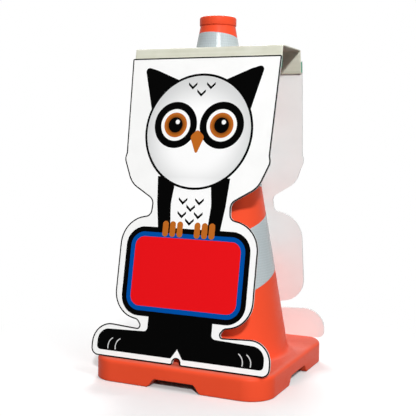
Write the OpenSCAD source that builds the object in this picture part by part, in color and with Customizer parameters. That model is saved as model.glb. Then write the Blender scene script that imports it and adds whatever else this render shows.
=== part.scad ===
// A cone-top sign, set up for use. A folded sheet cap sits on the neck of a traffic cone and
// carries one printed board in front and one behind. The boards lean like an A-frame, and
// their feet stand on the cone's square base.
// Millimetres. +Z is up, the front board faces -Y, and the origin is on the ground under
// the cone's axis.

/* [Cone] */
// Height of the cone from the ground to its lip
cone_h = 700; // [690:5:720]
// Side of the square base
base_side = 364; // [362:2:384]
// Height of the base from the ground to its top face
base_h = 44; // [40:1:50]
// Radius of the base's upright corners
base_corner_r = 50; // [30:1:60]
// Radius along the base's top edge
base_edge_r = 8; // [3:0.5:9]
// Height of the four corner feet, which is also the depth of the channels between them
foot_h = 16; // [8:1:20]
// Width of the channel between two feet, at the ground
channel_w = 108; // [80:2:130]
// Radius of the cone where it meets the base
skirt_r = 151.5; // [145:0.5:155]
// Radius of the cone just under its lip
neck_r = 34.3; // [33:0.1:34.8]
// Radius of the lip
lip_r = 36; // [36:0.5:38]
// Height of the lip
lip_h = 17; // [12:1:22]
// Thickness of the moulded wall
wall_t = 3; // [2:0.5:4]
// Radius of the hole in the top
top_hole_r = 26; // [20:0.5:28]

/* [Reflective bands] */
// Height of a band, measured up the cone
band_w = 107.5; // [80:0.5:110]
// Thickness of the tape
band_t = 0.4; // [0.3:0.1:0.8]
// Height of the middle of the upper, middle and lower band
band_z = [608, 432, 241]; // [150:1:640]
// Slope of each band as [degrees to the right, degrees to the back], since they are wound by hand
band_tilt = [[-2, -9.5], [-3, -9], [6, 16.5]]; // [-18:0.5:18]

/* [Cap] */
// Length of the cap from side to side
cap_w = 308; // [290:1:320]
// Depth of the cap's flat top
cap_d = 103; // [99:1:107]
// Height of the cap's flat top above the ground
cap_z = 638; // [632:1:644]
// Thickness of the sheet
cap_t = 2; // [1.5:0.1:3]
// Length of each sloping flange, from the fold down
flange_l = 46; // [38:1:60]
// Inside radius of the two folds
fold_r = 2; // [1:0.5:4]

/* [Boards] */
// Angle that each flange and board leans from upright, in degrees
lean = 10.9; // [10.6:0.1:11.2]
// Thickness of a board
board_t = 3; // [2:0.5:3]
// Distance from the cap's top down the slope to the board's top edge
board_drop = 21; // [15:1:26]
// Thickness of the foam tape between a flange and its board
tape_t = 2; // [1:0.5:2]
// Width of the board's top, which hides the flange
tab_w = 311; // [300:1:320]
// Width of the board between the figure and the panel
neck_w = 166; // [150:1:190]
// Width of the board round the panel
lobe_w = 284; // [276:1:300]
// Width of the board above its foot
ankle_w = 156; // [130:1:170]
// Width of the board's foot
sole_w = 366; // [340:1:372]

/* [Print] */
// Thickness of the printed film
film_t = 0.3; // [0.2:0.1:0.6]
// Width of the black line along the board's edge
edge_line_w = 2.4; // [1.5:0.1:4]
// Size of the panel, over its border
panel_size = [236, 150]; // [120:1:240]
// Width of the panel's border
panel_border = 9; // [5:0.5:14]
// Radius of the figure's head
head_r = 112; // [100:1:116]

/* [Hidden] */
$fn = 64;

// The cone's outside is a straight taper from the base to the underside of the lip
neck_z = cone_h - lip_h;
taper = (skirt_r - neck_r) / (neck_z - base_h);
skirt_fillet = 9;
lip_edge_r = 4;
lip_low_r = 1.5;
function cone_r(z) = skirt_r - taper * (z - base_h);

// A board's plane runs from the cap's front edge, down the slope, to the top of the base
slope_l = (cap_z + tape_t * sin(lean) - base_h) / cos(lean);
board_h = slope_l - board_drop;
tape_w = flange_l - board_drop - 4;
tape_end = 1.5;
print_out = tape_t + board_t;

// Heights on the board, from its bottom edge
sole_h = 64;
panel_y = 169;
panel_r = 28;
frame_w = 10;
panel_top = panel_y + panel_size.y / 2 + frame_w;
head_y = 440;
head_line = 4.5;
eye = [48, 452];
patch_r = 45;
white_r = 31;
iris_r = 24;
pupil_r = 15;

// Points of an arc that rounds the corner q of the path p, q, s to the radius r
function corner(p, q, s, r, n = 10) =
    let (u = (p - q) / norm(p - q), v = (s - q) / norm(s - q),
         half = acos(u * v) / 2, reach = r / tan(half),
         mid = (u + v) / norm(u + v), centre = q + mid * r / sin(half),
         a0 = q + u * reach - centre, a1 = q + v * reach - centre,
         start = atan2(a0.y, a0.x), sweep = (atan2(a1.y, a1.x) - start + 540) % 360 - 180)
    r == 0 ? [q] : [for (i = [0 : n]) centre + r * [cos(start + sweep * i / n), sin(start + sweep * i / n)]];

// A closed outline through corners given as [x, y, radius]
function rounded(c) =
    [for (i = [0 : len(c) - 1])
        let (a = c[(i + len(c) - 1) % len(c)], b = c[i], d = c[(i + 1) % len(c)])
        each corner([a.x, a.y], [b.x, b.y], [d.x, d.y], b.z)];

// Corners of the right half, the same corners mirrored to the left, and both in one outline
function mirrored(c) = [for (i = [len(c) - 1 : -1 : 0]) [-c[i].x, c[i].y, c[i].z]];
function to_side(side, c) = side > 0 ? c : mirrored(c);

// A point on the middle line isn't doubled
function both_sides(c) = concat(c, mirrored([for (p = c) if (abs(p.x) > 0.001) p]));

// The same outline drawn in by a distance, each point moved square to its neighbours
function drawn_in(p, by) =
    [for (i = [0 : len(p) - 1])
        let (along = p[(i + 1) % len(p)] - p[(i + len(p) - 1) % len(p)])
        p[i] + by * [-along.y, along.x] / norm(along)];

function box_corners(w, h, r) = [[w / 2, -h / 2, r], [w / 2, h / 2, r], [-w / 2, h / 2, r], [-w / 2, -h / 2, r]];

// The board's outline, from the small notch at the middle of its foot up its right side
board_corners = both_sides([
    [7, 12, 6.5], [7, 0, 5],
    [sole_w / 2, 0, 15], [sole_w / 2 + 1, sole_h + 2, 40],
    [ankle_w / 2, sole_h - 4, 5], [ankle_w / 2 + 12, sole_h + 12, 10],
    [lobe_w / 2, sole_h + 20, 52], [lobe_w / 2, 266, 56],
    [neck_w / 2, 276, 12], [neck_w / 2 - 2, 306, 16],
    [132, 336, 46], [tab_w / 2 - 3.5, 384, 20], [tab_w / 2 - 6.5, 396, 10],
    [tab_w / 2, board_h, 3]
]);
board_outline = rounded(board_corners);

// Places a flat drawing on the front slope: y = 0 at the board's bottom edge, z out of the slope
module on_front_slope(out) {
    translate([0, -cap_d / 2, cap_z]) rotate([90 - lean, 0, 0])
        translate([0, -board_drop - board_h, out]) children();
}

module on_back_slope(out) {
    rotate([0, 0, 180]) on_front_slope(out) children();
}

module rounded_square(side, r) {
    square([side - 2 * r, side], center = true);
    square([side, side - 2 * r], center = true);
    for (x = [-1, 1], y = [-1, 1]) translate([x, y] * (side / 2 - r)) circle(r);
}

// The slab of the base, with a round along its top edge
module base_slab() {
    flat = base_side / 2 - base_corner_r;
    linear_extrude(base_h - base_edge_r) rounded_square(base_side, base_corner_r);
    linear_extrude(base_h) rounded_square(base_side - 2 * base_edge_r, base_corner_r - base_edge_r);
    for (i = [0 : 3]) rotate([0, 0, 90 * i]) translate([0, 0, base_h - base_edge_r]) {
        translate([-flat, flat + base_corner_r - base_edge_r, 0]) rotate([0, 90, 0])
            cylinder(r = base_edge_r, h = 2 * flat);
        translate([flat, flat, 0]) rotate_extrude(angle = 90)
            translate([base_corner_r - base_edge_r, 0]) circle(base_edge_r, $fn = 32);
    }
}

// The channel between the feet: its ends slope, with a round where they meet roof and ground
module channel() {
    rotate([90, 0, 0]) linear_extrude(base_side + 20, center = true) polygon(rounded(both_sides([
        [channel_w / 2 + 12, -4, 0], [channel_w / 2 + 1, 0, 5], [channel_w / 2 - foot_h * 0.9, foot_h, 7]
    ])));
}

// The cone's outer form: a fillet at the foot, a straight taper, and the rounded lip
module cone_form() {
    rotate_extrude($fn = 96) polygon(concat(
        [[0, foot_h + 2], [skirt_r + skirt_fillet, foot_h + 2]],
        [for (a = [0 : 15 : 75]) [
            cone_r(base_h) + skirt_fillet * (1 - sin(a)) - taper * skirt_fillet * (1 - cos(a)),
            base_h + skirt_fillet * (1 - cos(a))
        ]],
        [[cone_r(base_h + skirt_fillet), base_h + skirt_fillet], [cone_r(neck_z - 2), neck_z - 2], [lip_r - lip_low_r, neck_z]],
        [for (a = [-72 : 18 : 0]) [lip_r, neck_z] + lip_low_r * [cos(a) - 1, 1 + sin(a)]],
        [for (a = [0 : 15 : 90]) [lip_r - lip_edge_r * (1 - cos(a)), cone_h - lip_edge_r * (1 - sin(a))]],
        [[0, cone_h]]
    ));
}

// The hollow that lets cones stack, and the straight hole through the lip
module cone_hollow() {
    rotate_extrude($fn = 96) polygon([
        [0, -1], [cone_r(0) - wall_t - 6, -1], [skirt_r - wall_t, base_h],
        [cone_r(neck_z - 14) - wall_t, neck_z - 14], [top_hole_r, neck_z - 4],
        [top_hole_r, cone_h + 1], [0, cone_h + 1]
    ]);
}

module traffic_cone() {
    color("#e4573b") difference() {
        union() {
            base_slab();
            cone_form();
        }
        cone_hollow();
        channel();
        rotate([0, 0, 90]) channel();
    }
}

// A band is the part of a thin sleeve on the cone between two parallel sloping planes
module reflective_band(i) {
    top = neck_z - 6;
    color("#b9c2c4") intersection() {
        rotate_extrude($fn = 96) polygon([
            [cone_r(base_h + 20), base_h + 20], [cone_r(base_h + 20) + band_t, base_h + 20],
            [cone_r(top) + band_t, top], [cone_r(top), top]
        ]);
        translate([0, 0, band_z[i]]) rotate([band_tilt[i][1], -band_tilt[i][0], 0])
            cube([400, 400, band_w], center = true);
    }
}

module upper_reflective_band() reflective_band(0);
module middle_reflective_band() reflective_band(1);
module lower_reflective_band() reflective_band(2);

// The area under the folded sheet's outer face, or under its inner face for an inset of cap_t.
// The outer face of each flange starts at the edge of the flat top.
module cap_section(inset, longer) {
    edge = cap_d / 2 + inset * (tan(lean) - 1 / cos(lean));
    foot = [cap_d / 2 - inset / cos(lean), 0] + (flange_l + longer) * [sin(lean), -cos(lean)];
    polygon(rounded(both_sides([
        [foot.x, foot.y, 0], [edge, -inset, fold_r + cap_t - inset]
    ])));
}

// The hole is tapered like the cone, so the cap seats all round
module sign_cap() {
    grip = 6;
    color("#d6dac8") difference() {
        translate([0, 0, cap_z]) rotate([90, 0, 90]) linear_extrude(cap_w, center = true) difference() {
            cap_section(0, 0);
            cap_section(cap_t, 10);
        }
        translate([0, 0, cap_z - cap_t - grip]) cylinder(
            r1 = cone_r(cap_z - cap_t - grip) + band_t, r2 = cone_r(cap_z + grip) + band_t,
            h = cap_t + 2 * grip, $fn = 96);
    }
}

// The foam tape fills the overlap of flange and board, and shows at its ends
module fixing_tape() {
    translate([-cap_w / 2 - tape_end, board_h - 2 - tape_w, 0])
        cube([cap_w + 2 * tape_end, tape_w, tape_t]);
}

module front_fixing_tape() color("#5fa58c") on_front_slope(0) fixing_tape();
module back_fixing_tape() color("#5fa58c") on_back_slope(0) fixing_tape();

module board() {
    linear_extrude(board_t) polygon(board_outline);
}

module front_board() color("#f6f6f3") on_front_slope(tape_t) board();
module back_board() color("#f6f6f3") on_back_slope(tape_t) board();

module film() linear_extrude(film_t) children();

module ring(r_out, r_in) {
    difference() {
        circle(r_out);
        circle(r_in);
    }
}

module at_eyes() {
    for (side = [-1, 1]) translate([side * eye.x, eye.y]) children();
}

module head_disc(r) {
    translate([0, head_y]) circle(r, $fn = 96);
}

module ear_tuft(side) {
    polygon(rounded(to_side(side, [[26, 530, 3], [102, 478, 3], [126, 568, 7], [98, 560, 30]])));
}

module beak() {
    polygon(rounded([[0, 394, 3], [15, 430, 8], [0, 444, 6], [-15, 430, 8]]));
}

// The body from under the head to the panel, with a slight waist
module bird_body(w_top, w_mid, w_low) {
    polygon(rounded(both_sides([[w_low / 2, panel_top - 2, 0], [w_mid / 2, 300, 60], [w_top / 2, 352, 0]])));
}

module chevron(x, y) {
    translate([x, y]) polygon([[-9, 5], [0, -3], [9, 5], [9, 0], [0, -9], [-9, 0]]);
}

module chest_marks() {
    for (x = [-17, 17], y = [308, 282]) chevron(x, y);
    for (y = [295, 269]) chevron(0, y);
}

module forehead_marks() {
    for (x = [-19, 19]) chevron(x, 530);
    chevron(0, 516);
}

module toes() {
    for (side = [-1, 1], i = [0 : 2]) translate([side * (18 + 15 * i), panel_top - 2])
        polygon(rounded(box_corners(12, 30, 5.9)));
}

module panel(grow) {
    translate([0, panel_y])
        polygon(rounded(box_corners(panel_size.x + 2 * grow, panel_size.y + 2 * grow, panel_r + grow)));
}

// A short post and a wide foot carry the panel
module stand() {
    polygon(rounded(both_sides([
        [0, 30, 0], [12, 12, 4], [sole_w / 2 - 12, 12, 8], [sole_w / 2 - 12, sole_h - 12, 24],
        [ankle_w / 2 - 12, sole_h - 8, 8], [ankle_w / 2 - 12, panel_y - panel_size.y / 2, 0]
    ])));
}

// Two thin curved lines near each end of the foot
module foot_lines() {
    for (side = [-1, 1], x = [112, 128]) translate([side * x, 20]) arc_strip(18, 20, side > 0 ? -15 : 120);
}

// A strip between two radii, from an angle on through 75 degrees
module arc_strip(r_in, r_out, start) {
    polygon([for (r = [r_in, r_out], i = [0 : 8])
        let (a = start + 75 * (r == r_in ? i : 8 - i) / 8) r * [cos(a), sin(a)]]);
}

module black_print() {
    film() difference() {
        polygon(board_outline);
        polygon(drawn_in(board_outline, edge_line_w));
    }
    film() difference() {
        union() {
            head_disc(head_r);
            for (side = [-1, 1]) ear_tuft(side);
            bird_body(150, 142, 128);
            panel(frame_w);
            stand();
        }
        head_disc(head_r - head_line);
        difference() {
            bird_body(72, 84, 76);
            head_disc(head_r);
            panel(frame_w);
        }
        panel(0);
        toes();
        foot_lines();
    }
    film() forehead_marks();
    film() chest_marks();
    film() difference() {
        at_eyes() ring(patch_r, white_r);
        beak();
    }
    film() at_eyes() difference() {
        circle(pupil_r);
        translate([4, 6]) circle(4.5);
    }
}

module grey_print() {
    film() difference() {
        head_disc(head_r - head_line);
        at_eyes() circle(patch_r);
        beak();
        forehead_marks();
    }
    film() difference() {
        bird_body(72, 84, 76);
        head_disc(head_r);
        chest_marks();
        toes();
        panel(frame_w);
    }
    film() foot_lines();
}

module orange_print() {
    film() at_eyes() ring(iris_r, pupil_r);
    film() beak();
    film() toes();
}

module blue_print() {
    film() difference() {
        panel(0);
        panel(-panel_border);
        toes();
    }
}

module red_print() {
    film() difference() {
        panel(-panel_border);
        toes();
    }
}

module front_black_print() color("#111111") on_front_slope(print_out) black_print();
module front_grey_print() color("#dcdcdc") on_front_slope(print_out) grey_print();
module front_orange_print() color("#b4621f") on_front_slope(print_out) orange_print();
module front_red_print() color("#e8141a") on_front_slope(print_out) red_print();
module front_blue_print() color("#004ea2") on_front_slope(print_out) blue_print();
module back_black_print() color("#111111") on_back_slope(print_out) black_print();
module back_grey_print() color("#dcdcdc") on_back_slope(print_out) grey_print();
module back_orange_print() color("#b4621f") on_back_slope(print_out) orange_print();
module back_red_print() color("#e8141a") on_back_slope(print_out) red_print();
module back_blue_print() color("#004ea2") on_back_slope(print_out) blue_print();

traffic_cone();
upper_reflective_band();
middle_reflective_band();
lower_reflective_band();
sign_cap();
front_fixing_tape();
back_fixing_tape();
front_board();
back_board();
front_black_print();
front_grey_print();
front_orange_print();
front_red_print();
front_blue_print();
back_black_print();
back_grey_print();
back_orange_print();
back_red_print();
back_blue_print();
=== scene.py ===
"""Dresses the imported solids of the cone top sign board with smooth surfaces, materials, stage and camera."""

import bpy
import numpy as np
from bpy.props import FloatProperty, FloatVectorProperty, IntProperty, PointerProperty
from mathutils import Matrix, Vector


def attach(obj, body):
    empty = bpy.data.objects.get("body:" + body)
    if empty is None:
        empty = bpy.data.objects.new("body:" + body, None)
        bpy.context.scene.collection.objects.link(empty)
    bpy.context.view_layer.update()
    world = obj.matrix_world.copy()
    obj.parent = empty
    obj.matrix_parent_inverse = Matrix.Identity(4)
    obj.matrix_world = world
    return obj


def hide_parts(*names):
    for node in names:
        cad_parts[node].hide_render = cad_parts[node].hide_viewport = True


bl_info = {
    "name": "Cone Top Sign Board",
    "version": (1, 0, 0),
    "blender": (4, 5, 0),
    "location": "3D View > Sidebar > Cone Sign",
    "description": "Dresses the packed solids of a traffic cone that carries two sign boards on a folded cap",
    "category": "Add Mesh",
}

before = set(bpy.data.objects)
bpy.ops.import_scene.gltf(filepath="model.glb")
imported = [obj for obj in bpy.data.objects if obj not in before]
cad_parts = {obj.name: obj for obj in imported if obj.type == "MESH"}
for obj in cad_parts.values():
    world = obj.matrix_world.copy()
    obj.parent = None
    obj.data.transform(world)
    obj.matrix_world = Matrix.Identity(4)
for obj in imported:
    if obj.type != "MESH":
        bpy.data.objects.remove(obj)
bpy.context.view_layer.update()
LENGTH = {"unit": "LENGTH", "subtype": "DISTANCE", "precision": 4}


def srgb(code):
    """Turns a hex colour as written, in sRGB, into the linear colour that the shaders take."""
    part = np.array([int(code[i : i + 2], 16) for i in (0, 2, 4)]) / 255
    linear = np.where(part <= 0.04045, part / 12.92, ((part + 0.055) / 1.055) ** 2.4)
    return (*(float(v) for v in linear), 1.0)


def size_property(name, description, default):
    """A length in metres for a property group."""
    return FloatProperty(name=name, description=description, default=default, **LENGTH)


def colour_property(name, description, code):
    """A colour for a property group, given as a hex code."""
    return FloatVectorProperty(
        name=name, description=description, subtype="COLOR", size=4, min=0, max=1, default=srgb(code)
    )


# Sizes and colours


class ConeSignCone(bpy.types.PropertyGroup):
    """The moulded cone and its square base."""

    height: size_property("Height", "Height of the cone over the ground", 0.700)
    base_side: size_property("Base Side", "Length of each side of the base", 0.364)
    base_height: size_property("Base Height", "Height of the base's top over the ground", 0.044)
    corner_radius: size_property("Corner Radius", "Radius of the base's corners, from above", 0.050)
    edge_radius: size_property("Edge Radius", "Radius of the round along the base's top edge", 0.008)
    foot_height: size_property("Foot Height", "Height of the channels between the feet", 0.016)
    channel_foot: size_property("Channel Foot", "Half the width of a channel at the ground", 0.056)
    channel_roof: size_property("Channel Roof", "Half the width of a channel at its roof", 0.0385)
    skirt_radius: size_property("Skirt Radius", "Radius of the cone where it meets the base", 0.1515)
    skirt_fillet: size_property("Skirt Fillet", "Radius of the fillet round the foot of the cone", 0.009)
    neck_radius: size_property("Neck Radius", "Radius of the cone just under its lip", 0.0343)
    lip_radius: size_property("Lip Radius", "Radius of the lip", 0.036)
    lip_height: size_property("Lip Height", "Height of the lip", 0.017)
    wall: size_property("Wall", "Thickness of the cone's wall", 0.003)
    hole_radius: size_property("Hole Radius", "Radius of the hole in the top", 0.026)
    columns: IntProperty(name="Columns", description="Steps round the cone's surface", default=640)
    colour: colour_property("Colour", "Colour of the moulded plastic", "EE5231")


class ConeSignBands(bpy.types.PropertyGroup):
    """The three reflective bands."""

    width: size_property("Width", "Width of the tape", 0.1075)
    thickness: size_property("Thickness", "Thickness of the tape", 0.0004)
    heights: FloatVectorProperty(
        name="Heights",
        description="Height of the middle of the upper, middle and lower band",
        default=(0.608, 0.432, 0.241),
        subtype="TRANSLATION",
        unit="LENGTH",
    )
    tilt_right: FloatVectorProperty(
        name="Tilt to the Right",
        description="How far the upper, middle and lower band rise to the right",
        default=tuple(np.radians((-2.0, -3.0, 6.0))),
        subtype="EULER",
    )
    tilt_back: FloatVectorProperty(
        name="Tilt to the Back",
        description="How far the upper, middle and lower band rise to the back",
        default=tuple(np.radians((-9.5, -9.0, 16.5))),
        subtype="EULER",
    )
    colour: colour_property("Colour", "Colour of the reflective tape", "AFB9BC")


class ConeSignCap(bpy.types.PropertyGroup):
    """The folded cap that hangs on the cone, and the foam tape on its flanges."""

    width: size_property("Width", "Width of the cap across the board", 0.308)
    depth: size_property("Depth", "Depth of the cap's flat top", 0.103)
    top: size_property("Top", "Height of the cap's top over the ground", 0.638)
    sheet: size_property("Sheet", "Thickness of the sheet", 0.002)
    fold: size_property("Fold", "Outer radius of the folds", 0.004)
    flange: size_property("Flange", "Length of each flange down its slope", 0.046)
    edge: size_property("Edge", "Width of the rubbed edge round the sheet", 0.0003)
    tape: size_property("Tape", "Thickness of the foam tape", 0.002)
    tape_edge: size_property("Tape Edge", "Width of the rubbed edge round the foam tape", 0.0005)
    lean: FloatProperty(
        name="Lean",
        description="Angle of the flanges and boards from upright",
        default=float(np.radians(10.9)),
        subtype="ANGLE",
    )
    colour: colour_property("Colour", "Colour of the folded sheet", "D8D8C9")
    tape_colour: colour_property("Tape Colour", "Colour of the foam tape", "5FA58C")


class ConeSignBoards(bpy.types.PropertyGroup):
    """The two boards and the inks of their print."""

    thickness: size_property("Thickness", "Thickness of each board", 0.003)
    edge: size_property("Edge", "Width of the rubbed edge round each board", 0.0004)
    head_height: size_property("Head Height", "Height of the bird's head along the board", 0.440)
    head_radius: size_property("Head Radius", "Radius of the bird's head", 0.112)
    eye_side: size_property("Eye Side", "Distance of each eye from the middle line", 0.048)
    eye_height: size_property("Eye Height", "Height of the eyes along the board", 0.452)
    iris_radius: size_property("Iris Radius", "Radius of the coloured ring of an eye", 0.024)
    breast_height: size_property("Breast Height", "Height of the middle of the breast", 0.275)
    sheet_colour: colour_property("Sheet", "Colour of the board", "FBFBFA")
    black: colour_property("Black", "Black ink", "020202")
    grey: colour_property("Grey", "Grey ink at the edge of the head and breast", "D3D4D4")
    orange: colour_property("Orange", "Orange ink of the beak, irises and toes", "BC6722")
    red: colour_property("Red", "Red ink of the panel", "E8141A")
    blue: colour_property("Blue", "Blue ink of the panel's border", "004EA2")


class ConeSignStage(bpy.types.PropertyGroup):
    """The floor, the lamps and the camera."""

    floor_radius: size_property("Floor Radius", "Radius of the round floor", 6.0)
    floor_colour: colour_property("Floor", "Colour of the floor near the object", "FAFAFA")
    sky_light: FloatProperty(
        name="Sky Light", description="Strength of the soft light overhead", default=0.31
    )
    side_light: FloatProperty(
        name="Side Light", description="Strength of the soft light from the sides", default=0.05
    )
    key_power: FloatProperty(
        name="Key Power", description="Power of the lamp above the camera", default=382.0, unit="POWER"
    )
    fill_power: FloatProperty(
        name="Fill Power", description="Power of the soft lamp high on the right", default=66.0, unit="POWER"
    )
    back_power: FloatProperty(
        name="Back Power", description="Power of the soft lamp behind", default=120.0, unit="POWER"
    )
    camera_place: FloatVectorProperty(
        name="Camera Place",
        description="Where the camera stands",
        default=(0.6707981, -1.5254261, 0.4658303),
        subtype="TRANSLATION",
        unit="LENGTH",
    )
    camera_turn: FloatVectorProperty(
        name="Camera Turn",
        description="Angle round the object, angle down, and roll of the camera",
        default=tuple(np.radians((24.23792, 4.84621, 0.84278))),
        subtype="EULER",
    )
    lens: FloatProperty(name="Lens", description="Focal length of the camera", default=72.241, unit="CAMERA")


# Small radii and steps of the moulding
EDGE_BREAK = 0.001
LIP_ROUND = 0.004
LIP_UNDER = 0.0015
NECK_FILLET = 0.0012
SOLE_ROUND = 0.002
# How far the hollow's mouth lies inside the skirt, and how far below the lip the hollow ends
MOUTH_INSET = 0.0008
HOLLOW_END = 0.014
# Where the hole's straight wall starts below the lip's foot, and a step of it above
HOLE_START = 0.004
HOLE_MIDDLE = 0.005
# How far the straight taper stays clear of the lip and of the fillet at its foot
TAPER_TOP = 0.003
TAPER_FOOT = 0.002
# Width of the tape's rounded edges, and height of the lap where its ends meet
TAPE_EDGE = 0.0006
TAPE_LAP = 0.0003
# Gap between the cap's hole and the cone, halfway through the sheet
SEAT_GAP = 0.0004
# How far below the middle of the head its airbrushed shade is centred
SHADE_DROP = 0.012
# How far the floor lies below the feet
FLOOR_DROP = 0.0003

# Name, angle round the object and angle up in degrees, distance, length of each side, and power
LAMPS = (
    ("key lamp", (28, 27), 7.0, 0.45, "key_power"),
    ("fill lamp", (66, 42), 4.5, 1.6, "fill_power"),
    ("back lamp", (205, 38), 4.5, 1.6, "back_power"),
)


# Meshes


def grid_faces(rows, columns, close_rows=False, close_columns=False):
    """Quads of a grid whose points are numbered row by row.

    A closed direction joins its last step to its first.
    """
    i = np.arange(rows if close_rows else rows - 1)[:, None]
    j = np.arange(columns if close_columns else columns - 1)[None, :]
    below, above = i * columns, (i + 1) % rows * columns
    left, right = j, (j + 1) % columns
    return np.stack([below + left, below + right, above + right, above + left], -1).reshape(-1, 4)


def new_object(name, data):
    """An object at the origin that holds a mesh, a lamp or a camera, in the scene's collection."""
    holder = bpy.data.objects.new(name, data)
    bpy.context.scene.collection.objects.link(holder)
    return holder


def mesh_piece(name, points, faces, uv=None):
    """Makes a smooth mesh object at the origin from arrays; uv holds one pair in metres for each point."""
    mesh = bpy.data.meshes.new(name)
    mesh.from_pydata(points.reshape(-1, 3), [], faces.tolist())
    mesh.validate()
    if uv is not None:
        corners = np.zeros(len(mesh.loops), np.int32)
        mesh.loops.foreach_get("vertex_index", corners)
        mesh.uv_layers.new(name="UVMap").data.foreach_set("uv", uv.reshape(-1, 2)[corners].ravel())
    mesh.shade_smooth()
    return new_object(name, mesh)


def rub_edges(piece, width, angle):
    """A small round along the edges where faces turn by more than the angle, in degrees."""
    edge = piece.modifiers.new("rubbed edge", "BEVEL")
    edge.width = width
    edge.segments = 2
    edge.limit_method = "ANGLE"
    edge.angle_limit = float(np.radians(angle))


def solid_copy(node, name, width):
    """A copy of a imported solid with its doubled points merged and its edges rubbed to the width."""
    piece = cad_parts[node].copy()
    piece.data = piece.data.copy()
    piece.name = piece.data.name = name
    piece.parent = None
    piece.matrix_world = Matrix.Identity(4)
    # The copy doesn't keep the custom properties of its solid
    for key in list(piece.keys()):
        del piece[key]
    bpy.context.scene.collection.objects.link(piece)
    # Points are rounded to a thousandth of a millimetre, and those that agree become one
    points = np.zeros(len(piece.data.vertices) * 3)
    piece.data.vertices.foreach_get("co", points)
    points, merged = np.unique(points.reshape(-1, 3).round(6), axis=0, return_inverse=True)
    corners = np.zeros(len(piece.data.loops), np.int32)
    piece.data.loops.foreach_get("vertex_index", corners)
    faces = merged.ravel()[corners].reshape(-1, 3)
    piece.data.clear_geometry()
    piece.data.from_pydata(points, [], faces.tolist())
    piece.data.validate()
    rub_edges(piece, width, 40)
    return piece


def finish_piece(piece, material, slot, *nodes):
    """Gives a piece its material, and makes it stand for its solids on the sign's body; the slot is not used.
    """
    piece.data.materials.clear()
    piece.data.materials.append(material)
    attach(piece, "root")
    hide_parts(*nodes)


def cone_radius(cone, z):
    """Radius of the cone's straight outside at the height z: a line from the skirt to the neck."""
    neck = cone.height - cone.lip_height
    share = (z - cone.base_height) / (neck - cone.base_height)
    return cone.skirt_radius + (cone.neck_radius - cone.skirt_radius) * share


def base_outline(cone):
    """Points and outward normals of a square with round corners, at equal steps along its outline.

    Each quarter runs up one side and round one corner: the middle of the round moves along the side
    and then rests, while the normal rests and then turns.
    """
    flat = cone.base_side / 2 - cone.corner_radius
    side, arc = 2 * flat, cone.corner_radius * np.pi / 2
    along = (np.arange(cone.columns) + 0.5) / cone.columns * 4 * (side + arc)
    quarter, step = np.divmod(along, side + arc)
    angle = np.clip(step - side, 0, arc) / cone.corner_radius
    normal = np.stack([np.cos(angle), np.sin(angle)], -1)
    middle = np.stack([np.full_like(step, flat), np.minimum(step, side) - flat], -1)
    point = middle + cone.corner_radius * normal
    c, s = np.cos(quarter * np.pi / 2), np.sin(quarter * np.pi / 2)
    turn = np.stack([np.stack([c, -s], -1), np.stack([s, c], -1)], -2)
    return np.einsum("nij,nj->ni", turn, point), np.einsum("nij,nj->ni", turn, normal)


def channel_height(cone, x, y):
    """Height of the underside over the ground.

    It is the foot height along each middle line, and falls in an S to the ground beside it.
    """
    near = np.minimum(np.abs(x), np.abs(y))
    step = np.clip((cone.channel_foot - near) / (cone.channel_foot - cone.channel_roof), 0, 1)
    return cone.foot_height * step * step * (3 - 2 * step)


def bend(start, end, count):
    """Sine and cosine of the angles from start to end, in degrees, for the round of an edge."""
    angle = np.radians(np.linspace(start, end, count))
    return np.sin(angle), np.cos(angle)


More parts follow.
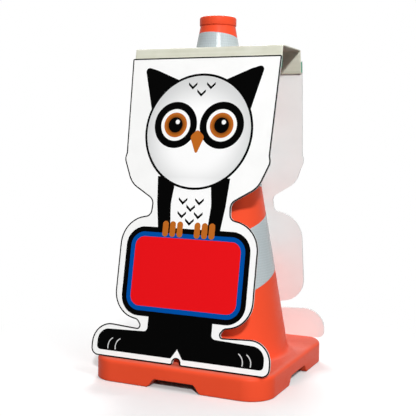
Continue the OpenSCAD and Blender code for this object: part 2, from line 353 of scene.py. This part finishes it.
def cone_rows(cone):
    """The cone's section, as rows of five numbers.

    They are the radius, the share of the square outline, the inset from it, the height, and the share
    of the channels. The section runs up the hollow, over the lip, down the outside, over the base and
    back under it.
    """
    rows = []

    def add_rows(radius, square, inset, height, lift):
        row = np.broadcast_arrays(radius, square, inset, height, lift)
        rows.append(np.stack(row, -1).reshape(-1, 5).astype(float))

    neck, top = cone.height - cone.lip_height, cone.height
    # The mouth at the ground, rounded a little, and the hollow up to where it narrows under the lip
    mouth = cone.skirt_radius - MOUTH_INSET
    s, c = bend(0, 90, 4)
    add_rows(mouth + EDGE_BREAK * (1 - s), 0, 0, EDGE_BREAK * (1 - c), 1)
    up = np.linspace(cone.base_height, neck - HOLLOW_END, 20)
    add_rows(cone_radius(cone, up) - cone.wall, 0, 0, up, 0)
    # The hole's straight wall and its edge, then the lip's top and underside
    wall = np.array([neck - HOLE_START, neck + HOLE_MIDDLE, top - EDGE_BREAK])
    add_rows(cone.hole_radius, 0, 0, wall, 0)
    add_rows(cone.hole_radius + EDGE_BREAK * (1 - c), 0, 0, top - EDGE_BREAK * (1 - s), 0)
    s, c = bend(0, 90, 7)
    add_rows(cone.lip_radius - LIP_ROUND * (1 - s), 0, 0, top - LIP_ROUND * (1 - c), 0)
    s, c = bend(0, 90, 4)
    add_rows(cone.lip_radius - LIP_UNDER * (1 - c), 0, 0, neck + LIP_UNDER * (1 - s), 0)
    add_rows(cone_radius(cone, neck) + NECK_FILLET * (1 - s), 0, 0, neck - NECK_FILLET * (1 - c), 0)
    # The straight taper and the fillet round its foot
    down = np.linspace(neck - TAPER_TOP, cone.base_height + cone.skirt_fillet + TAPER_FOOT, 40)
    add_rows(cone_radius(cone, down), 0, 0, down, 0)
    s, c = bend(80, 0, 8)
    slope = (cone.skirt_radius - cone.neck_radius) / (neck - cone.base_height)
    foot = cone.skirt_radius + cone.skirt_fillet * ((1 - s) - slope * (1 - c))
    add_rows(foot, 0, 0, cone.base_height + cone.skirt_fillet * (1 - c), 0)
    # The base's top, its edge, its side and its underside, whose channels rise with the side's rows
    add_rows(foot[-1], np.linspace(0.15, 0.9, 5), cone.edge_radius, cone.base_height, 0)
    s, c = bend(0, 90, 7)
    shoulder = cone.base_height - cone.edge_radius
    add_rows(0, 1, cone.edge_radius * (1 - s), shoulder + cone.edge_radius * c, 0)
    down = np.linspace(0.12, 1, 7)
    add_rows(0, 1, 0, shoulder + (SOLE_ROUND - shoulder) * down, down)
    s, c = bend(15, 90, 4)
    add_rows(0, 1, SOLE_ROUND * (1 - c), SOLE_ROUND * (1 - s), 1)
    add_rows(mouth + EDGE_BREAK, np.linspace(0.96, 0.04, 22), SOLE_ROUND, 0, 1)
    return np.concatenate(rows)


def cone_surface(cone):
    """Every row mixes a circle with the square outline drawn in, raised over the channels by its share.

    Point = (1 - square) * radius * direction + square * (outline - inset * normal), and
    height = row height + lift * channel height there.
    """
    outline, normal = base_outline(cone)
    direction = outline / np.linalg.norm(outline, axis=1)[:, None]
    radius, square, inset, height, lift = cone_rows(cone).T[:, :, None]
    flat = (1 - square)[..., None] * radius[..., None] * direction
    flat = flat + square[..., None] * (outline - inset[..., None] * normal)
    z = height + lift * channel_height(cone, flat[..., 0], flat[..., 1])
    return np.concatenate([flat, z[..., None]], -1)


def band_surface(cone, bands, i, columns=360):
    """A sleeve on the cone between two parallel sloping planes, its end lapped over its start behind.

    Each upright line of the cone, radius = a - k * z, meets a plane n . (p - centre) = h at
    z = (h + n_z * centre - a * n_r) / (n_z - k * n_r), where n_r is the plane's normal along the
    line's direction.
    """
    angle = (np.arange(columns) + 0.5) / columns * 2 * np.pi + np.pi / 2
    turn, roll = bands.tilt_back[i], -bands.tilt_right[i]
    n = np.array([np.cos(turn) * np.sin(roll), -np.sin(turn), np.cos(turn) * np.cos(roll)])
    a = cone_radius(cone, 0)
    k = a - cone_radius(cone, 1)
    n_r = n[0] * np.cos(angle) + n[1] * np.sin(angle)
    # Places of the rows across the tape, and the share of its thickness at each
    edge = TAPE_EDGE / bands.width
    flat = np.linspace(0.02, 0.98, 13)
    across = np.array([0, 0, edge / 2, edge, *flat, 1 - edge, 1 - edge / 2, 1, 1])[:, None]
    proud = np.array([0, 0.6, 0.9, 1, *np.ones_like(flat), 1, 0.9, 0.6, 0])[:, None]
    top = cone.height - cone.lip_height - NECK_FILLET
    z = ((across - 0.5) * bands.width + n[2] * bands.heights[i] - a * n_r) / (n[2] - k * n_r)
    z = np.minimum(z, top)
    # The lap's reach to each side and the ramp at its end, as shares of half a turn
    reach, ramp = 0.06, 0.0075
    lap = TAPE_LAP * np.clip((reach - np.abs(np.linspace(-1, 1, columns))) / ramp, 0, 1)
    raised = np.roll(lap, columns // 2) * (proud > 0.5)
    r = cone_radius(cone, z) + proud * (bands.thickness + raised)
    points = np.stack([r * np.cos(angle), r * np.sin(angle), z], -1)
    around = np.broadcast_to(angle * cone_radius(cone, bands.heights[i]), z.shape)
    return points, np.stack([around, z], -1)


def cap_surface(cone, cap):
    """The folded sheet's outer face: a plate with a round hole, and a fold and flange on each long side.

    The plate mixes a circle round the hole with the plate's outline. A fold turns through 90 degrees
    less the lean on its outer radius, and the flange runs straight on from it. Plate and flanges share
    their points on the folds.
    """
    turn = np.pi / 2 - cap.lean
    half_w, flat = cap.width / 2, cap.depth / 2 - cap.fold * np.tan(turn / 2)
    # Points along each long side, along each short side, and from the hole out to the outline
    wide, deep, rings = 63, 21, 12
    x = np.linspace(-half_w, half_w, wide)
    y = np.linspace(-flat, flat, deep)
    outline = np.concatenate(
        [
            np.stack([x[:-1], np.full(wide - 1, -flat)], -1),
            np.stack([np.full(deep - 1, half_w), y[:-1]], -1),
            np.stack([x[:0:-1], np.full(wide - 1, flat)], -1),
            np.stack([np.full(deep - 1, -half_w), y[:0:-1]], -1),
        ]
    )
    hole = cone_radius(cone, cap.top - cap.sheet / 2) + SEAT_GAP
    angle = np.arctan2(outline[:, 1], outline[:, 0])
    circle = hole * np.stack([np.cos(angle), np.sin(angle)], -1)
    # The power draws the rings together a little towards the hole
    mix = (np.linspace(0, 1, rings) ** 1.3)[:, None, None]
    plate = circle + mix * (outline - circle)
    plate = np.concatenate([plate, np.full((*plate.shape[:2], 1), cap.top)], -1).reshape(-1, 3)
    bend_at = np.linspace(0, turn, 9)[1:]
    out = flat + cap.fold * np.sin(bend_at)
    down = cap.top - cap.fold * (1 - np.cos(bend_at))
    run = np.linspace(0, 1, 8)[1:]
    end_y = cap.depth / 2 + cap.flange * np.sin(cap.lean)
    end_z = cap.top - cap.flange * np.cos(cap.lean)
    out = np.append(out, out[-1] + run * (end_y - out[-1]))
    down = np.append(down, down[-1] + run * (end_z - down[-1]))
    faces = [grid_faces(rings, len(outline), close_columns=True)]
    points, border = [plate], (rings - 1) * len(outline)
    for side, start in ((-1, 0), (1, wide + deep - 2)):
        edge = start + np.arange(wide)
        xs = outline[edge, 0]
        sheet = np.stack(np.broadcast_arrays(xs[None, :], side * out[:, None], down[:, None]), -1)
        number = sum(len(p) for p in points) + np.arange(len(out) * wide).reshape(-1, wide)
        number = np.vstack([border + edge, number])
        quads = np.stack([number[:-1, :-1], number[:-1, 1:], number[1:, 1:], number[1:, :-1]], -1)
        faces.append(quads.reshape(-1, 4))
        points.append(sheet.reshape(-1, 3))
    return np.concatenate(points), np.concatenate(faces)[:, ::-1]


# Materials


def add(tree, kind, inputs=None, **settings):
    """Adds a node with its settings; each input is a value or an output to link from.

    By number, 1 to 4 of a Map Range are the range from and the range to, and 0, 6 and 7 of a colour Mix
    are its factor and its two colours.
    """
    node = tree.nodes.new(kind)
    for key, value in settings.items():
        setattr(node, key, value)
    for key, value in (inputs or {}).items():
        if isinstance(value, bpy.types.NodeSocket):
            tree.links.new(value, node.inputs[key])
        else:
            node.inputs[key].default_value = value
    return node


def shaded(colour, factor):
    """A colour with its parts multiplied by one factor, or by three, and none of them above one."""
    return [float(v) for v in np.minimum(1, np.array(colour[:3]) * factor)] + [1.0]


def new_material(name):
    """An empty material, its node tree and its output."""
    material = bpy.data.materials.new(name)
    material.use_nodes = True
    material.node_tree.nodes.clear()
    return material, material.node_tree, add(material.node_tree, "ShaderNodeOutputMaterial")


def background_rays(tree):
    """One for the rays that see the white background, and zero for others.

    They come from the camera, from a reflection or through glass.
    """
    ray = add(tree, "ShaderNodeLightPath").outputs
    seen = ray["Is Camera Ray"]
    for kind in ("Is Glossy Ray", "Is Transmission Ray"):
        seen = add(tree, "ShaderNodeMath", {0: seen, 1: ray[kind]}, operation="MAXIMUM").outputs[0]
    return seen


def moulded_pvc(cone):
    """Injection moulded soft PVC: a dull satin skin with faint flow clouds, an orange peel and scuffs."""
    material, tree, output = new_material("injection moulded pvc")
    place = add(tree, "ShaderNodeTexCoord")
    where = place.outputs["Object"]
    # The flow clouds are about 110 mm wide
    cloud = add(tree, "ShaderNodeTexNoise", {"Vector": where, "Scale": 9.0, "Detail": 3.0, "Roughness": 0.5})
    tint = add(tree, "ShaderNodeMapRange", {"Value": cloud.outputs["Fac"], 1: 0.3, 2: 0.7, 3: 0.0, 4: 1.0})
    deep = shaded(cone.colour, (0.96, 0.92, 0.9))
    clean = add(tree, "ShaderNodeMix", {0: tint.outputs[0], 6: deep, 7: cone.colour}, data_type="RGBA")
    # What faces up is painted paler: partly dust, partly a painted sheen of the lit top
    rise = add(tree, "ShaderNodeSeparateXYZ", {0: place.outputs["Normal"]})
    dust_and_sheen = add(tree, "ShaderNodeMapRange", {"Value": rise.outputs["Z"], 1: 0.6, 2: 0.98, 3: 0.0, 4: 0.26})
    # This pale pink stands for dust and for the painted sheen on the lit top
    pale = srgb("B09084")
    colour = add(tree, "ShaderNodeMix", {0: dust_and_sheen.outputs[0], 6: clean.outputs[2], 7: pale}, data_type="RGBA")
    # Scuffs are about 5 mm long streaks, and are drawn at 16 mm so that they show
    streaks = add(tree, "ShaderNodeMapping", {"Vector": where, "Scale": (60.0, 60.0, 190.0)})
    scuff = add(tree, "ShaderNodeTexNoise", {"Vector": streaks.outputs[0], "Scale": 1.0, "Detail": 5.0})
    dull = add(tree, "ShaderNodeMapRange", {"Value": scuff.outputs["Fac"], 1: 0.5, 2: 0.75, 3: 0.38, 4: 0.48})
    # The orange peel of such a skin is about 1 mm wide; it is drawn at 2.5 mm so that it shows
    peel = add(tree, "ShaderNodeTexNoise", {"Vector": where, "Scale": 400.0, "Detail": 2.0})
    skin = add(tree, "ShaderNodeBump", {"Height": peel.outputs["Fac"], "Strength": 0.1, "Distance": 0.0003})
    shader = add(
        tree,
        "ShaderNodeBsdfPrincipled",
        {
            "Base Color": colour.outputs[2],
            "Roughness": dull.outputs[0],
            "IOR": 1.53,
            "Specular IOR Level": 0.07,
            "Normal": skin.outputs[0],
        },
    )
    tree.links.new(shader.outputs[0], output.inputs[0])
    return material


def reflective_sheeting(bands):
    """Retroreflective sheeting: a silver grey film with a honeycomb of sealed cells under a clear skin."""
    material, tree, output = new_material("retroreflective sheeting")
    where = add(tree, "ShaderNodeUVMap", uv_map="UVMap").outputs[0]
    # The cells are about 3 mm wide, and are drawn at 5 mm so that they show
    cells = add(
        tree,
        "ShaderNodeTexVoronoi",
        {"Vector": where, "Scale": 200.0, "Randomness": 0.25},
        feature="DISTANCE_TO_EDGE",
        voronoi_dimensions="2D",
    )
    near = cells.outputs["Distance"]
    seal = add(tree, "ShaderNodeMapRange", {"Value": near, 1: 0.03, 2: 0.12, 3: 1.0, 4: 0.0})
    light = shaded(bands.colour, 1.18)
    film = add(tree, "ShaderNodeMix", {0: seal.outputs[0], 6: bands.colour, 7: light}, data_type="RGBA")
    # The film is worn in patches about 70 mm wide
    cloud = add(tree, "ShaderNodeTexNoise", {"Vector": where, "Scale": 14.0, "Detail": 3.0})
    wear = add(tree, "ShaderNodeMapRange", {"Value": cloud.outputs["Fac"], 1: 0.3, 2: 0.75, 3: 0.0, 4: 0.3})
    dusty = shaded(bands.colour, 0.86)
    colour = add(tree, "ShaderNodeMix", {0: wear.outputs[0], 6: film.outputs[2], 7: dusty}, data_type="RGBA")
    skin = add(tree, "ShaderNodeBump", {"Height": seal.outputs[0], "Strength": 0.2, "Distance": 0.0002})
    shader = add(
        tree,
        "ShaderNodeBsdfPrincipled",
        {
            "Base Color": colour.outputs[2],
            "Roughness": 0.24,
            "IOR": 1.5,
            "Specular IOR Level": 0.25,
            "Normal": skin.outputs[0],
        },
    )
    tree.links.new(shader.outputs[0], output.inputs[0])
    return material


def folded_sheet(cap):
    """Extruded PVC sheet, bent hot: dull ivory, with faint lines along the way it was extruded."""
    material, tree, output = new_material("extruded pvc sheet")
    where = add(tree, "ShaderNodeTexCoord").outputs["Object"]
    # The extruder's lines are about 2 mm apart, and are drawn at 6 mm so that they show
    along = add(tree, "ShaderNodeMapping", {"Vector": where, "Scale": (4.0, 160.0, 160.0)})
    lines = add(tree, "ShaderNodeTexNoise", {"Vector": along.outputs[0], "Scale": 1.0, "Detail": 4.0})
    # Grime lies along the lines and in patches about 33 mm wide
    cloud = add(tree, "ShaderNodeTexNoise", {"Vector": where, "Scale": 30.0, "Detail": 3.0})
    both = add(tree, "ShaderNodeMath", {0: lines.outputs["Fac"], 1: cloud.outputs["Fac"]}, operation="ADD")
    tint = add(tree, "ShaderNodeMapRange", {"Value": both.outputs[0], 1: 0.75, 2: 1.25, 3: 0.0, 4: 1.0})
    grimy = shaded(cap.colour, (0.88, 0.88, 0.84))
    colour = add(tree, "ShaderNodeMix", {0: tint.outputs[0], 6: grimy, 7: cap.colour}, data_type="RGBA")
    ridge = lines.outputs["Fac"]
    grain = add(tree, "ShaderNodeBump", {"Height": ridge, "Strength": 0.15, "Distance": 0.0003})
    shader = add(
        tree,
        "ShaderNodeBsdfPrincipled",
        {"Base Color": colour.outputs[2], "Roughness": 0.46, "IOR": 1.53, "Normal": grain.outputs[0]},
    )
    tree.links.new(shader.outputs[0], output.inputs[0])
    return material


def foam(cap):
    """Closed cell foam tape: a matt green strip, pitted where its cells are cut."""
    material, tree, output = new_material("closed cell foam")
    where = add(tree, "ShaderNodeTexCoord").outputs["Object"]
    # Pores of such a foam are about 0.5 mm wide, and are drawn at 1.2 mm so that they show
    pores = add(tree, "ShaderNodeTexVoronoi", {"Vector": where, "Scale": 830.0})
    near = pores.outputs["Distance"]
    depth = add(tree, "ShaderNodeMapRange", {"Value": near, 1: 0.1, 2: 0.6, 3: 1.0, 4: 0.0})
    # The pits are painted darker: painted shade in the cut cells
    pit_shade = shaded(cap.tape_colour, 0.55)
    colour = add(tree, "ShaderNodeMix", {0: depth.outputs[0], 6: cap.tape_colour, 7: pit_shade}, data_type="RGBA")
    pits = add(
        tree,
        "ShaderNodeBump",
        {"Height": depth.outputs[0], "Strength": 0.5, "Distance": 0.0004},
        invert=True,
    )
    shader = add(
        tree,
        "ShaderNodeBsdfPrincipled",
        {"Base Color": colour.outputs[2], "Roughness": 0.85, "Normal": pits.outputs[0]},
    )
    tree.links.new(shader.outputs[0], output.inputs[0])
    return material


def foamed_board(boards, cap):
    """Foamed PVC board: a smooth white skin with a dull bloom, and a rougher, greyer sawn edge."""
    material, tree, output = new_material("foamed pvc board")
    place = add(tree, "ShaderNodeTexCoord")
    where, pale = place.outputs["Object"], boards.sheet_colour
    # The bloom lies in patches about 45 mm wide
    cloud = add(tree, "ShaderNodeTexNoise", {"Vector": where, "Scale": 22.0, "Detail": 4.0})
    patch = cloud.outputs["Fac"]
    tint = add(tree, "ShaderNodeMapRange", {"Value": patch, 1: 0.35, 2: 0.7, 3: 0.0, 4: 1.0})
    bloom = shaded(pale, 0.96)
    skin = add(tree, "ShaderNodeMix", {0: tint.outputs[0], 6: bloom, 7: pale}, data_type="RGBA")
    # The skins' normals tilt with the slope, one up and one down, so what turns from both is sawn edge
    folded = add(tree, "ShaderNodeVectorMath", {0: place.outputs["Normal"]}, operation="ABSOLUTE")
    slope = (0.0, float(np.cos(cap.lean)), float(np.sin(cap.lean)))
    facing = add(tree, "ShaderNodeVectorMath", {0: folded.outputs[0], 1: slope}, operation="DOT_PRODUCT")
    turned = facing.outputs["Value"]
    sawn = add(tree, "ShaderNodeMapRange", {"Value": turned, 1: 0.6, 2: 0.85, 3: 1.0, 4: 0.0}).outputs[0]
    grey = shaded(pale, 0.72)
    colour = add(tree, "ShaderNodeMix", {0: sawn, 6: skin.outputs[2], 7: grey}, data_type="RGBA")
    rough = add(tree, "ShaderNodeMapRange", {"Value": sawn, 1: 0.0, 2: 1.0, 3: 0.42, 4: 0.8})
    # The foam's cells are about 0.3 mm wide, and are drawn at 1.4 mm so that they show
    cells = add(tree, "ShaderNodeTexNoise", {"Vector": where, "Scale": 700.0, "Detail": 2.0})
    height = cells.outputs["Fac"]
    grain = add(tree, "ShaderNodeBump", {"Height": height, "Strength": 0.12, "Distance": 0.0003})
    shader = add(
        tree,
        "ShaderNodeBsdfPrincipled",
        {
            "Base Color": colour.outputs[2],
            "Roughness": rough.outputs[0],
            "IOR": 1.5,
            "Normal": grain.outputs[0],
        },
    )
    tree.links.new(shader.outputs[0], output.inputs[0])
    return material


def slope_point(scene, x, y):
    """A place on the print, from its side and its height along the board, as x, depth and height.

    The slope starts at the cap's edge. The board's foot is where its inner face meets the base's top,
    and the print lies out from the slope by the thickness of the tape and the board.
    """
    cap, boards = scene.conesign_cap, scene.conesign_boards
    fall = cap.top + cap.tape * np.sin(cap.lean) - scene.conesign_cone.base_height
    down = fall / np.cos(cap.lean) - y
    out = cap.tape + boards.thickness
    depth = cap.depth / 2 + down * np.sin(cap.lean) + out * np.cos(cap.lean)
    return (float(x), float(depth), float(cap.top - down * np.cos(cap.lean) + out * np.sin(cap.lean)))


def printed_film(name, inner, outer=None, reach=None, places=()):
    """Printed vinyl film under a satin skin: a flat ink, or one airbrushed between two colours.

    The ink changes with the distance from the nearest of the places, over the reach given in metres.
    Both boards carry the same print turned about the upright axis, so depth and side are taken without
    their signs.
    """
    material, tree, output = new_material(name)
    where = add(tree, "ShaderNodeTexCoord").outputs["Object"]
    folded = add(tree, "ShaderNodeVectorMath", {0: where}, operation="ABSOLUTE").outputs[0]
    near = None
    for place in places:
        away = add(tree, "ShaderNodeVectorMath", {0: folded, 1: place}, operation="DISTANCE").outputs[1]
        if near is None:
            near = away
        else:
            near = add(tree, "ShaderNodeMath", {0: near, 1: away}, operation="MINIMUM").outputs[0]
    colour = inner
    if near is not None:
        shade = add(
            tree,
            "ShaderNodeMapRange",
            {"Value": near, 1: reach[0], 2: reach[1], 3: 0.0, 4: 1.0},
            interpolation_type="SMOOTHSTEP",
        )
        blend = add(tree, "ShaderNodeMix", {0: shade.outputs[0], 6: inner, 7: outer}, data_type="RGBA")
        colour = blend.outputs[2]
    # The film's skin has a fine emboss of about 0.3 mm, drawn at 1.5 mm so that it shows
    emboss = add(tree, "ShaderNodeTexNoise", {"Vector": where, "Scale": 650.0, "Detail": 2.0})
    skin = add(tree, "ShaderNodeBump", {"Height": emboss.outputs["Fac"], "Strength": 0.1, "Distance": 0.0002})
    # The gloss changes in patches about 55 mm wide
    cloud = add(tree, "ShaderNodeTexNoise", {"Vector": where, "Scale": 18.0, "Detail": 3.0})
    dull = add(tree, "ShaderNodeMapRange", {"Value": cloud.outputs["Fac"], 1: 0.3, 2: 0.7, 3: 0.28, 4: 0.38})
    shader = add(
        tree,
        "ShaderNodeBsdfPrincipled",
        {
            "Base Color": colour,
            "Roughness": dull.outputs[0],
            "IOR": 1.48,
            "Specular IOR Level": 0.02,
            "Normal": skin.outputs[0],
        },
    )
    tree.links.new(shader.outputs[0], output.inputs[0])
    return material


# Operators


class CONESIGN_OT_cone(bpy.types.Operator):
    """Makes the moulded cone with its lip, hollow, square base and channels between the feet"""

    bl_idname = "conesign.cone"
    bl_label = "Traffic Cone"

    def execute(self, context):
        cone = context.scene.conesign_cone
        points = cone_surface(cone)
        faces = grid_faces(*points.shape[:2], close_rows=True, close_columns=True)[:, ::-1]
        piece = mesh_piece("moulded_cone", points, faces)
        finish_piece(piece, moulded_pvc(cone), "cone_plastic", "traffic_cone")
        return {"FINISHED"}


class CONESIGN_OT_bands(bpy.types.Operator):
    """Lays the three reflective bands on the cone, each between two sloping planes"""

    bl_idname = "conesign.bands"
    bl_label = "Reflective Bands"

    def execute(self, context):
        scene = context.scene
        cone, bands = scene.conesign_cone, scene.conesign_bands
        tape = reflective_sheeting(bands)
        for i, place in enumerate(("upper", "middle", "lower")):
            points, uv = band_surface(cone, bands, i)
            faces = grid_faces(*points.shape[:2], close_rows=True, close_columns=True)
            piece = mesh_piece(f"{place}_band_sleeve", points, faces, uv)
            finish_piece(piece, tape, "reflective_tape", f"{place}_reflective_band")
        return {"FINISHED"}


class CONESIGN_OT_cap(bpy.types.Operator):
    """Folds the cap that hangs on the cone, and puts the foam tape on its flanges"""

    bl_idname = "conesign.cap"
    bl_label = "Sign Cap"

    def execute(self, context):
        scene = context.scene
        cap = scene.conesign_cap
        piece = mesh_piece("folded_cap", *cap_surface(scene.conesign_cone, cap))
        sheet = piece.modifiers.new("sheet", "SOLIDIFY")
        sheet.thickness = cap.sheet
        sheet.offset = -1
        sheet.use_even_offset = True
        rub_edges(piece, cap.edge, 50)
        finish_piece(piece, folded_sheet(cap), "cap_plastic", "sign_cap")
        strip = foam(cap)
        for side in ("front", "back"):
            piece = solid_copy(f"{side}_fixing_tape", f"{side}_foam_strip", cap.tape_edge)
            finish_piece(piece, strip, "foam_tape", f"{side}_fixing_tape")
        return {"FINISHED"}


class CONESIGN_OT_boards(bpy.types.Operator):
    """Gives both boards their rubbed edges and skin, and each film of their print its ink"""

    bl_idname = "conesign.boards"
    bl_label = "Boards and Print"

    def execute(self, context):
        scene = context.scene
        boards, cap = scene.conesign_boards, scene.conesign_cap
        skin = foamed_board(boards, cap)
        head = slope_point(scene, 0, boards.head_height - SHADE_DROP)
        breast = slope_point(scene, 0, boards.breast_height)
        eye = slope_point(scene, boards.eye_side, boards.eye_height)
        # Where the airbrushed shades start and end, from the radii that they follow
        round_head = (0.45 * boards.head_radius, 1.08 * boards.head_radius)
        round_eye = (0.6 * boards.iris_radius, 0.95 * boards.iris_radius)
        paper, chestnut = srgb("FCFCFC"), shaded(boards.orange, 0.5)
        inks = {
            "black": printed_film("black screen ink", boards.black),
            "grey": printed_film("grey airbrushed ink", paper, boards.grey, round_head, [head, breast]),
            "orange": printed_film("orange screen ink", chestnut, boards.orange, round_eye, [eye]),
            "red": printed_film("red screen ink", boards.red),
            "blue": printed_film("blue screen ink", boards.blue),
        }
        for side in ("front", "back"):
            piece = solid_copy(f"{side}_board", f"{side}_sign_sheet", boards.edge)
            finish_piece(piece, skin, "board_sheet", f"{side}_board")
            for colour, ink in inks.items():
                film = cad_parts[f"{side}_{colour}_print"]
                film.data.materials.clear()
                film.data.materials.append(ink)
        return {"FINISHED"}


class CONESIGN_OT_stage(bpy.types.Operator):
    """Lays the pale floor, lights it softly and sets the camera as the photograph was taken"""

    bl_idname = "conesign.stage"
    bl_label = "Stage and Camera"

    def execute(self, context):
        stage = context.scene.conesign_stage
        self.lay_floor(stage)
        self.light_world(stage)
        for name, angles, distance, side, power in LAMPS:
            self.hang_lamp(name, angles, distance, side, getattr(stage, power))
        self.set_camera(stage)
        context.scene.view_settings.view_transform = "Standard"
        return {"FINISHED"}

    def lay_floor(self, stage):
        """A disc of rings; its radius grows as the square of the ring's number."""
        rings, spokes = 24, 96
        radius = stage.floor_radius * np.linspace(0.01, 1, rings)[:, None] ** 2
        angle = np.linspace(0, 2 * np.pi, spokes + 1)[None, :-1]
        z = np.full((rings, spokes), -FLOOR_DROP)
        points = np.stack([radius * np.cos(angle), radius * np.sin(angle), z], -1).reshape(-1, 3)
        quads = grid_faces(rings, spokes, close_columns=True)[:, ::-1]
        faces = quads.tolist() + [list(range(spokes))]
        mesh = bpy.data.meshes.new("floor")
        mesh.from_pydata(points, [], faces)
        floor = new_object("floor", mesh)
        material, tree, output = new_material("painted studio floor")
        where = add(tree, "ShaderNodeTexCoord").outputs["Object"]
        away = add(tree, "ShaderNodeVectorMath", {0: where}, operation="LENGTH").outputs["Value"]
        # The paint gives way to plain white between 0.2 and 0.6 m from the middle
        fade = add(
            tree,
            "ShaderNodeMapRange",
            {"Value": away, 1: 0.2, 2: 0.6, 3: 0.0, 4: 1.0},
            interpolation_type="SMOOTHSTEP",
        )
        seen = background_rays(tree)
        share = add(tree, "ShaderNodeMath", {0: fade.outputs[0], 1: seen}, operation="MULTIPLY")
        # The floor gives little light back, so that the hollows and the gap under the cap stay deep
        dim = srgb("484848")
        shown = add(tree, "ShaderNodeMix", {0: seen, 6: dim, 7: stage.floor_colour}, data_type="RGBA")
        paint = add(tree, "ShaderNodeBsdfPrincipled", {"Base Color": shown.outputs[2], "Roughness": 0.9})
        glow = add(tree, "ShaderNodeEmission", {"Color": (1.0, 1.0, 1.0, 1.0), "Strength": 1.0})
        mix = add(tree, "ShaderNodeMixShader", {0: share.outputs[0], 1: paint.outputs[0], 2: glow.outputs[0]})
        tree.links.new(mix.outputs[0], output.inputs[0])
        mesh.materials.append(material)

    def light_world(self, stage):
        """White where it is seen, and for everything else a soft light that is stronger overhead."""
        world = bpy.data.worlds.new("studio")
        bpy.context.scene.world = world
        world.use_nodes = True
        tree = world.node_tree
        tree.nodes.clear()
        seen = background_rays(tree)
        # The soft light grows from the horizon up, and is full where a direction's height passes 0.8
        way = add(tree, "ShaderNodeSeparateXYZ", {0: add(tree, "ShaderNodeTexCoord").outputs["Generated"]})
        rise = add(
            tree,
            "ShaderNodeMapRange",
            {"Value": way.outputs["Z"], 1: 0.0, 2: 0.8, 3: stage.side_light, 4: stage.sky_light},
        )
        even = add(tree, "ShaderNodeBackground", {"Color": (1, 1, 1, 1), "Strength": rise.outputs[0]})
        white = add(tree, "ShaderNodeBackground", {"Color": (1, 1, 1, 1), "Strength": 1.0})
        mix = add(tree, "ShaderNodeMixShader", {0: seen, 1: even.outputs[0], 2: white.outputs[0]})
        output = add(tree, "ShaderNodeOutputWorld")
        tree.links.new(mix.outputs[0], output.inputs[0])

    def hang_lamp(self, name, angles, distance, side, power):
        """A square lamp at an angle round the object and an angle up, turned to the object's middle."""
        lamp = bpy.data.lights.new(name, "AREA")
        lamp.shape = "SQUARE"
        lamp.size = side
        lamp.energy = power
        turn, up = np.radians(angles)
        away = Vector((np.sin(turn) * np.cos(up), -np.cos(turn) * np.cos(up), np.sin(up)))
        middle = Vector((0, 0, bpy.context.scene.conesign_cone.height / 2))
        turned = away.to_track_quat("Z", "Y").to_matrix().to_4x4()
        new_object(name, lamp).matrix_world = Matrix.Translation(middle + distance * away) @ turned

    def set_camera(self, stage):
        """The camera's place, direction, roll and focal length, solved from the photograph's edges."""
        turn, down, roll = stage.camera_turn
        back = Vector((np.sin(turn) * np.cos(down), -np.cos(turn) * np.cos(down), np.sin(down)))
        level = (-back).cross(Vector((0, 0, 1))).normalized()
        upright = back.cross(level)
        right = level * np.cos(roll) + upright * np.sin(roll)
        up = upright * np.cos(roll) - level * np.sin(roll)
        camera = bpy.data.cameras.new("camera")
        camera.sensor_width = 36.0
        camera.lens = stage.lens
        camera.clip_start, camera.clip_end = 0.05, 50.0
        holder = new_object("camera", camera)
        turned = Matrix((right, up, back)).transposed().to_4x4()
        holder.matrix_world = Matrix.Translation(stage.camera_place) @ turned
        bpy.context.scene.camera = holder


class CONESIGN_PT_panel(bpy.types.Panel):
    """Sizes, colours and operators of the cone top sign board"""

    bl_idname = "CONESIGN_PT_panel"
    bl_label = "Cone Sign"
    bl_space_type = "VIEW_3D"
    bl_region_type = "UI"
    bl_category = "Cone Sign"

    def draw(self, context):
        for name, _, operator in STEPS:
            box = self.layout.box()
            settings = getattr(context.scene, f"conesign_{name}")
            for key in settings.__annotations__:
                box.prop(settings, key)
            box.operator(operator.bl_idname)


STEPS = (
    ("cone", ConeSignCone, CONESIGN_OT_cone),
    ("bands", ConeSignBands, CONESIGN_OT_bands),
    ("cap", ConeSignCap, CONESIGN_OT_cap),
    ("boards", ConeSignBoards, CONESIGN_OT_boards),
    ("stage", ConeSignStage, CONESIGN_OT_stage),
)


def register():
    """Registers the groups, operators and panel, and puts the groups on the scene."""
    for name, group, operator in STEPS:
        bpy.utils.register_class(group)
        setattr(bpy.types.Scene, f"conesign_{name}", PointerProperty(type=group))
        bpy.utils.register_class(operator)
    bpy.utils.register_class(CONESIGN_PT_panel)


def unregister():
    """Takes back everything that register puts in place."""
    bpy.utils.unregister_class(CONESIGN_PT_panel)
    for name, group, operator in reversed(STEPS):
        bpy.utils.unregister_class(operator)
        delattr(bpy.types.Scene, f"conesign_{name}")
        bpy.utils.unregister_class(group)


def main():
    """Builds every piece and the stage in order."""
    register()
    bpy.ops.conesign.cone()
    bpy.ops.conesign.bands()
    bpy.ops.conesign.cap()
    bpy.ops.conesign.boards()
    bpy.ops.conesign.stage()


if __name__ == "__main__":
    main()
